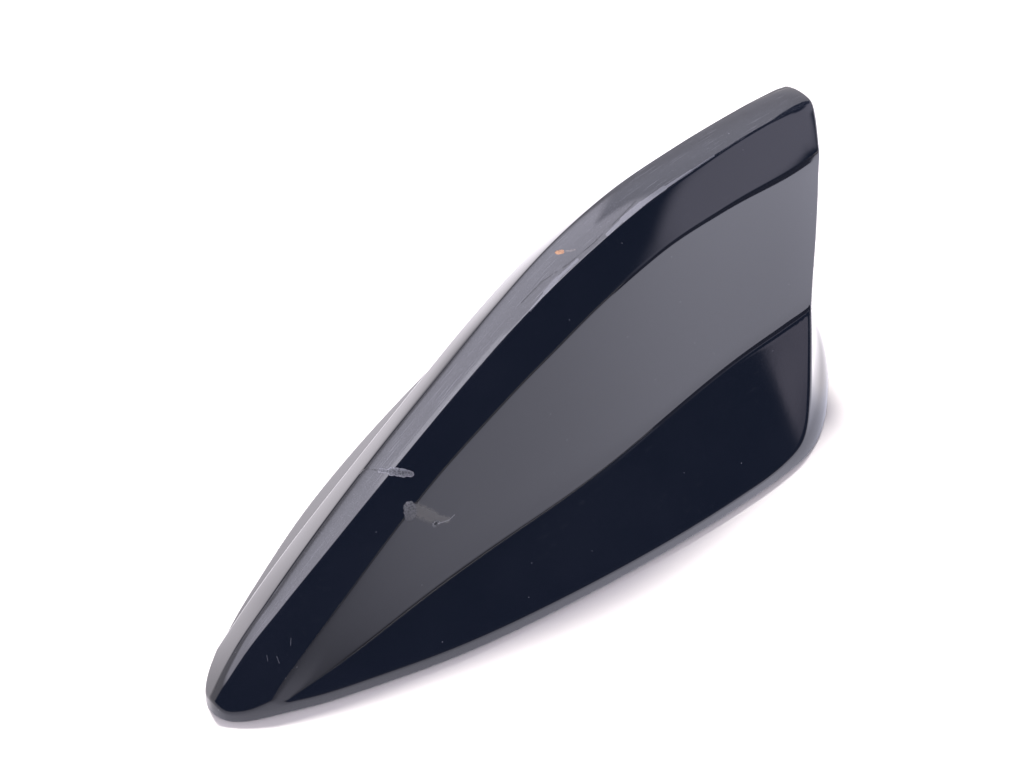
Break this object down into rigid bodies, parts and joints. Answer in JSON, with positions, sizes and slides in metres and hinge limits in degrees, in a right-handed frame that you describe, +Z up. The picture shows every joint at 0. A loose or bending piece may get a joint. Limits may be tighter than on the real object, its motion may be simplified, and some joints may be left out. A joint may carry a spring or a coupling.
{
  "type": "roof antenna cover",
  "caption": "Fin-shaped roof antenna cover: a gloss black moulded shell with creased sides, a flared base rim, an upright rear wall and a hollow open underside with screw bosses.",
  "frame": {"origin": "middle of the base plane, at the centre of the overall box", "axes": "+X forward towards the nose, +Y to the left side, +Z up; the open underside faces -Z"},
  "size_m": [0.1674, 0.078, 0.0629],
  "materials": {
    "cover": "gloss black paint over a moulded shell, worn and scuffed"
  },
  "bodies": {
    "root": {"cover": "cover"}
  },
  "joints": []
}
